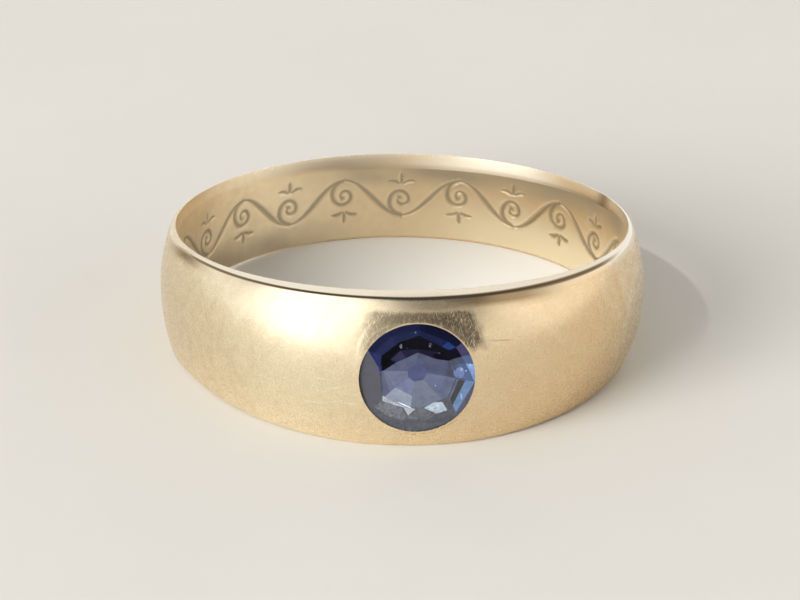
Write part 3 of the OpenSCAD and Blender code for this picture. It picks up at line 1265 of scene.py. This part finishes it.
# A ring for the culet, extruded outward ring by ring to the ribs' corners, then closed by the culet
def addPavilion():
    bpy.ops.object.select_all(action="DESELECT")
    bpy.ops.mesh.primitive_circle_add(
        vertices=len(pavilionRibs), radius=pavilionDepth["culetRadius"], fill_type="NOTHING"
    )
    pavilion = named("sapphirePavilion")
    mesh = pavilion.data
    order = byCompass(mesh, range(len(pavilionRibs)))
    rings = [order]
    apart = 1.5  # keeps a new ring clear of the last one until its corners are placed
    editAll()  # the first extrusion starts from the whole ring
    leaveEdit()
    for ring in range(1, len(pavilionRibs[0]) - 1):
        before = len(mesh.vertices)
        bpy.ops.object.mode_set(mode="EDIT")
        bpy.ops.mesh.select_mode(type="EDGE")
        bpy.ops.mesh.extrude_edges_move()
        bpy.ops.transform.resize(value=(apart, apart, 1))
        leaveEdit()
        rings.append(byCompass(mesh, range(before, len(mesh.vertices))))
    for ring, indices in enumerate(rings):
        for rib, index in zip(pavilionRibs, indices):
            mesh.vertices[index].co = ribCorner(rib, ring)
    for edge in mesh.edges:
        edge.select = edge.vertices[0] in order and edge.vertices[1] in order
    bpy.ops.object.mode_set(mode="EDIT")
    bpy.ops.mesh.edge_face_add()
    leaveEdit()
    return pavilion


# Joins the pavilion's open rim to the girdle's
def joinStone(crown, pavilion):
    bpy.ops.object.select_all(action="DESELECT")
    pavilion.select_set(True)
    crown.select_set(True)
    bpy.context.view_layer.objects.active = crown
    bpy.ops.object.join()
    bpy.ops.object.mode_set(mode="EDIT")
    bpy.ops.mesh.select_mode(type="EDGE")
    bpy.ops.mesh.select_all(action="DESELECT")
    bpy.ops.mesh.select_non_manifold()
    bpy.ops.mesh.bridge_edge_loops()
    leaveEdit()
    makeOutward()


# Which facet a pavilion face is: the rib it follows, and the ring, 0 at the culet's side
def pavilionFacet(mesh, face):
    first = pavilionRibs[0][0]
    turn = (math.degrees(math.atan2(face.center.y, face.center.x)) - first) % 360 + first
    sector = max(i for i, rib in enumerate(pavilionRibs) if turn >= rib[0])
    ring = len(pavilionRibs[0]) - 2
    for index in face.vertices:
        place = mesh.vertices[index].co
        for rib in (pavilionRibs[sector], pavilionRibs[(sector + 1) % len(pavilionRibs)]):
            for k in range(len(rib) - 1):
                if (ribCorner(rib, k) - place).length < nearGap:
                    ring = min(ring, k)
    return sector, ring


def writeSkin(mesh, dullShares, speckles, tones):
    for name, values in (("dullShare", dullShares), ("speckle", speckles)):
        mesh.attributes.new(name, "FLOAT", "FACE").data.foreach_set("value", values)
    mesh.attributes.new("tone", "FLOAT_COLOR", "FACE").data.foreach_set("color", tones)


# Skin of a face of the crown: that of the cut which made it, or of the worn place or painted reflection
# that it lies in
def crownSkin(cuts, face):
    skin = max(cuts, key=lambda cut: cut[0].dot(face.normal))[1]
    for worn in crownWearAndReflections:
        if isInside(worn["outline"], face.center):
            skin = worn["skin"]
    return skin


# painted glow tone of a pavilion face
def pavilionGlowTone(mesh, face):
    if face.center.z < pavilionDepth["culetFace"] - pavilionDepth["culet"]:
        return culetGlowTone
    sector, ring = pavilionFacet(mesh, face)
    return pavilionGlowTones[sector][ring]


# Writes each face's dull skin, speckle and tone: partly painted reflection on the crown, painted glow on
# the pavilion
def paintStone(stone):
    mesh = stone.data
    mesh.materials.clear()
    mesh.materials.append(crownMaterial())
    mesh.materials.append(pavilionMaterial())
    cuts = [(Vector((0, 0, 1)), clearSkin)]
    skins = (*crownSkins, *[chipSkin] * len(chips))
    for (turn, radius, slope), skin in zip(crownCuts(), skins):
        cuts.append((cutNormal(turn, slope), skin))
    dullShares, speckles, tones = [], [], []
    for face in mesh.polygons:
        if face.normal.z > sapphire["steepest"]:
            dullShare, tone, speckle = crownSkin(cuts, face)
        elif face.normal.z > -sapphire["steepest"]:
            dullShare, tone, speckle = girdleSkin
        else:
            face.material_index = 1
            dullShare, tone, speckle = 0.0, pavilionGlowTone(mesh, face), 0.0
        dullShares.append(dullShare)
        speckles.append(speckle)
        tones.extend((*tone, 1))
    writeSkin(mesh, dullShares, speckles, tones)


# Small crystals and flaws inside the stone, and two scratches along its worn edge, all glowing in their
# tones as painted glints
def addInclusions(stone):
    for turn, radius, height, size, twist, tone in inclusions:
        turn = math.radians(turn)
        bpy.ops.object.select_all(action="DESELECT")
        bpy.ops.mesh.primitive_ico_sphere_add(
            subdivisions=2,
            radius=1,
            location=(radius * math.cos(turn), radius * math.sin(turn), height),
            rotation=(0, 0, math.radians(twist)),
        )
        flaw = named("flaw")
        flaw.scale = size
        bpy.ops.object.transform_apply()
        for vertex in flaw.data.vertices:
            uneven = Vector(noise.noise_vector(vertex.co * sapphire["flawNoise"]))
            vertex.co += uneven * min(size) * sapphire["flawUneven"]
        count = len(flaw.data.polygons)
        flaw.data.materials.append(stone.data.materials[0])
        flaw.data.materials.append(stone.data.materials[1])
        flaw.data.polygons.foreach_set("material_index", [1] * count)
        writeSkin(flaw.data, [0.0] * count, [0.0] * count, [*tone, 1] * count)
        stone.select_set(True)
        bpy.context.view_layer.objects.active = stone
        bpy.ops.object.join()


def makeStone():
    stone = addCrown()
    print("sapphire: crown cut,", len(stone.data.polygons), "faces")
    joinStone(stone, addPavilion())
    print("sapphire: pavilion joined,", len(stone.data.polygons), "faces")
    paintStone(stone)
    addInclusions(stone)
    stone.data.transform(stoneToRing @ Matrix.Translation((0, 0, sapphire["rim"])))
    setDown(stone, sapphire["smoothAngle"])
    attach(stone, "root")
    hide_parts("sapphire")
    print("sapphire: painted, with its crystals,", len(stone.data.polygons), "faces")


crownLook = {
    "clear": (0.90, 0.93, 0.99, 1),
    "clearRough": 0.02,
    "mirrored": (0.05, 0.055, 0.075, 1),
    "refraction": 1.77,
    "dullRough": 0.35,
    "dullShine": 0.3,
    "grit": (7, 5, 0.8),  # noises: scale, detail and roughness
    "gritEnds": (0.36, 0.66),
    "gritDark": (0.5, 0.5, 0.5, 1),
    "gritLight": (1.75, 1.75, 1.75, 1),
    "cloud": (2.5, 2, 0.6),
    "cloudEnds": (0.42, 0.6),
    "cloudTint": (0.98, 0.95, 1.3, 1),
    "cloudSpeckles": (0.15, 0.3),  # skins more speckled than this have no cloud
    "uneven": (0.9, 1.05),  # how much the dull skin's cover wanders
    "plain": (1, 1, 1, 1),
}
pavilionLook = {
    "cloud": (3.0, 4, 0.7),
    "shades": (0.82, 1.16),
    "body": (0.004, 0.005, 0.010, 1),
    "roughness": 0.4,
}


# Clear crown with a dull, scratched skin where the attributes say so; the skin's tones are partly
# painted reflection
def crownMaterial():
    material, tree = newTree("sapphireCrown")
    place = ringPlaceNode(tree)
    grit = noiseNode(tree, place, *crownLook["grit"])
    cloud = noiseNode(tree, place, *crownLook["cloud"])
    speckle = attributeNode(tree, "speckle")
    plain = crownLook["plain"]
    clear = principledNode(tree, {
        "Base Color": crownLook["clear"],
        "Roughness": crownLook["clearRough"],
        "IOR": crownLook["refraction"],
        "Transmission Weight": 1.0,
        "Specular Tint": crownLook["mirrored"],
    })
    gritShare = rangeNode(tree, grit, *crownLook["gritEnds"], 0, 1)
    gritTone = mixNode(tree, gritShare, crownLook["gritDark"], crownLook["gritLight"])
    gritTone = mixNode(tree, speckle, plain, gritTone)
    unspeckled = rangeNode(tree, speckle, *crownLook["cloudSpeckles"], 1, 0)
    clouded = rangeNode(tree, cloud, *crownLook["cloudEnds"], 0, 1)
    clouded = mathNode(tree, "MULTIPLY", clouded, unspeckled)
    tinted = mixNode(tree, clouded, plain, crownLook["cloudTint"])
    gritTone = mixNode(tree, 1.0, gritTone, tinted, "MULTIPLY")
    dullColour = mixNode(tree, 1.0, attributeNode(tree, "tone", "Color"), gritTone, "MULTIPLY")
    dull = principledNode(tree, {
        "Base Color": dullColour,
        "Roughness": crownLook["dullRough"],
        "IOR": crownLook["refraction"],
        "Specular IOR Level": crownLook["dullShine"],
    })
    uneven = rangeNode(tree, cloud, *noiseEnds, *crownLook["uneven"])
    cover = mathNode(tree, "MULTIPLY", attributeNode(tree, "dullShare"), uneven)
    mixed = addNode(tree, "ShaderNodeMixShader", {}, {0: cover, 1: clear, 2: dull})
    outputNode(tree, mixed.outputs[0])
    return material


# The pavilion's facets glow in the tone that each sends back through the table
def pavilionMaterial():
    material, tree = newTree("sapphirePavilion")
    place = ringPlaceNode(tree)
    cloud = noiseNode(tree, place, *pavilionLook["cloud"])
    shade = rangeNode(tree, cloud, *noiseEnds, *pavilionLook["shades"])
    colour = mixNode(tree, 1.0, attributeNode(tree, "tone", "Color"), shade, "MULTIPLY")
    outputNode(tree, principledNode(tree, {
        "Base Color": pavilionLook["body"],
        "Roughness": pavilionLook["roughness"],
        "Specular IOR Level": 0.0,
        "Emission Color": colour,
        "Emission Strength": sapphire["glow"],
    }))
    return material


# Floor, light and world
floorLook = {
    "size": 3,  # metres
    "colour": (0.80, 0.775, 0.725, 1),
    "darker": 0.965,
    "clouds": (60, 3, 0.6),  # noises: scale, detail and roughness
    "specks": (900, 2, 0.7),
    "speckColour": (0.45, 0.42, 0.38, 1),
    "speckEnds": (0.76, 0.82),
    "speckShare": 0.25,
    "bump": 0.1,
    "bumpDepth": 0.0001,
    "roughness": 0.75,
    "shine": 0.2,
}
# Turns are in degrees from the stone's side to the right, rises in degrees from the floor
studio = {
    "keyTurn": -50,
    "keyRise": 21,
    "keyAway": 1.2,
    "keySize": 0.86,
    "keyPower": 15.9,
    "keyColour": (1.0, 0.985, 0.955),
    "fillPower": 6.1,
    "fillSize": 2.4,
    "fillAway": 1.8,
    "glintPlace": (0.0052, 0.0036, 0.0),  # the bright place on the floor inside the finger hole
    "glintRise": 50,
    "glintAway": 0.12,
    "glintSize": 7.0,
    "glintSoft": 0.004,
    "glintPower": 0.38,
    "glintColour": (1.0, 0.98, 0.93),
    "worldStrength": 1.0,
    # Soft bright parts of the surroundings: turn, rise, reach, bright core, strength
    "glows": (
        (-58, 26, 33, 5, 1.0),
        (-26, 33, 16, 3, 0.75),
        (-50, 10, 62, 10, 0.14),
        (90, 5, 35, 10, 0.25),
        (62, 30, 22, 5, 0.55),
    ),
    "shadeTurn": 24,  # a darker part of the surroundings, right of the camera
    "shadeRise": 46,
    "shadeReach": 25,
    "shadeCore": 20,
    "shadeLeft": 0.38,
}


def floorMaterial():
    material, tree = newTree("palePaper")
    place = addNode(tree, "ShaderNodeTexCoord", {}, {}).outputs["Object"]
    cloud = noiseNode(tree, place, *floorLook["clouds"])
    speck = noiseNode(tree, place, *floorLook["specks"])
    red, green, blue = (part * floorLook["darker"] for part in floorLook["colour"][:3])
    clouded = rangeNode(tree, cloud, *noiseEnds, 0, 1)
    colour = mixNode(tree, clouded, floorLook["colour"], (red, green, blue, 1))
    specks = rangeNode(tree, speck, *floorLook["speckEnds"], 0, floorLook["speckShare"])
    colour = mixNode(tree, specks, colour, floorLook["speckColour"])
    outputNode(tree, principledNode(tree, {
        "Base Color": colour,
        "Roughness": floorLook["roughness"],
        "Specular IOR Level": floorLook["shine"],
        "Normal": bumpNode(tree, speck, floorLook["bump"], floorLook["bumpDepth"]),
    }))
    return material


def directionTo(turn, rise):
    turn, rise = math.radians(turn), math.radians(rise)
    return Vector((math.sin(turn) * math.cos(rise), -math.cos(turn) * math.cos(rise), math.sin(rise)))


# Adds a light that isn't mirrored in the metal, which has the surroundings to mirror
def addLight(kind, name, place, power):
    bpy.ops.object.light_add(type=kind, location=place)
    light = bpy.context.object
    light.name = name
    light.data.energy = power
    light.visible_glossy = False
    return light


def makeStudio():
    bpy.ops.object.select_all(action="DESELECT")
    bpy.ops.mesh.primitive_plane_add(size=floorLook["size"])
    floor = named("paleFloor")
    floor.data.materials.append(floorMaterial())
    toKey = directionTo(studio["keyTurn"], studio["keyRise"])
    key = addLight("AREA", "keySoftbox", toKey * studio["keyAway"], studio["keyPower"])
    key.rotation_euler = toKey.to_track_quat("Z", "Y").to_euler()
    key.data.shape = "DISK"
    key.data.size = studio["keySize"]
    key.data.color = studio["keyColour"]
    fill = addLight("AREA", "ceilingFill", (0, 0, studio["fillAway"]), studio["fillPower"])
    fill.data.shape = "SQUARE"
    fill.data.size = studio["fillSize"]
    # The light that the right wall of the finger hole throws on the floor inside it
    toGlint = directionTo(studio["keyTurn"], studio["glintRise"])
    glintPlace = Vector(studio["glintPlace"]) + toGlint * studio["glintAway"]
    glint = addLight("SPOT", "holeGlint", glintPlace, studio["glintPower"])
    glint.rotation_euler = toGlint.to_track_quat("Z", "Y").to_euler()
    glint.data.spot_size = math.radians(studio["glintSize"])
    glint.data.spot_blend = 1.0
    glint.data.shadow_soft_size = studio["glintSoft"]
    glint.data.color = studio["glintColour"]
    print("studio: floor and three lights")
    makeWorld()
    view = bpy.context.scene.view_settings
    view.view_transform = "Standard"
    view.look = "None"
    print("studio: surroundings and view")


# Brightness of the surroundings by the sine of the height above the horizon
skyTones = (
    (0.0, (1.02, 1.03, 1.04)),
    (0.21, (0.98, 0.98, 0.98)),
    (0.42, (0.62, 0.61, 0.60)),
    (0.64, (0.53, 0.515, 0.495)),
    (0.84, (0.14, 0.132, 0.118)),
    (1.0, (0.09, 0.085, 0.075)),
)


def makeWorld():
    world = bpy.data.worlds.new("paleStudio")
    bpy.context.scene.world = world
    world.use_nodes = True
    tree = world.node_tree
    tree.nodes.clear()
    coords = addNode(tree, "ShaderNodeTexCoord", {}, {}).outputs["Generated"]
    height = addNode(tree, "ShaderNodeSeparateXYZ", {}, {0: coords}).outputs["Z"]
    tones = rampNode(tree, height, skyTones)

    def nearness(turn, rise, reach, core):
        toward = addNode(tree, "ShaderNodeVectorMath", {"operation": "DOT_PRODUCT"}, {
            0: coords, 1: directionTo(turn, rise)
        }).outputs["Value"]
        low, high = math.cos(math.radians(reach)), math.cos(math.radians(core))
        return rangeNode(tree, toward, low, high, 0.0, 1.0, "SMOOTHSTEP")

    near = nearness(studio["shadeTurn"], studio["shadeRise"], studio["shadeReach"], studio["shadeCore"])
    shade = mathNode(tree, "MULTIPLY_ADD", near, studio["shadeLeft"] - 1.0, 1.0)
    sky = mixNode(tree, 1.0, tones, shade, "MULTIPLY")
    for turn, rise, reach, core, strength in studio["glows"]:
        glow = mathNode(tree, "MULTIPLY", nearness(turn, rise, reach, core), strength)
        sky = mixNode(tree, 1.0, sky, glow, "ADD")
    background = addNode(tree, "ShaderNodeBackground", {}, {
        "Color": sky, "Strength": studio["worldStrength"]
    })
    addNode(tree, "ShaderNodeOutputWorld", {}, {"Surface": background.outputs[0]})


makeCamera()
makeBand()
makeStone()
makeStudio()
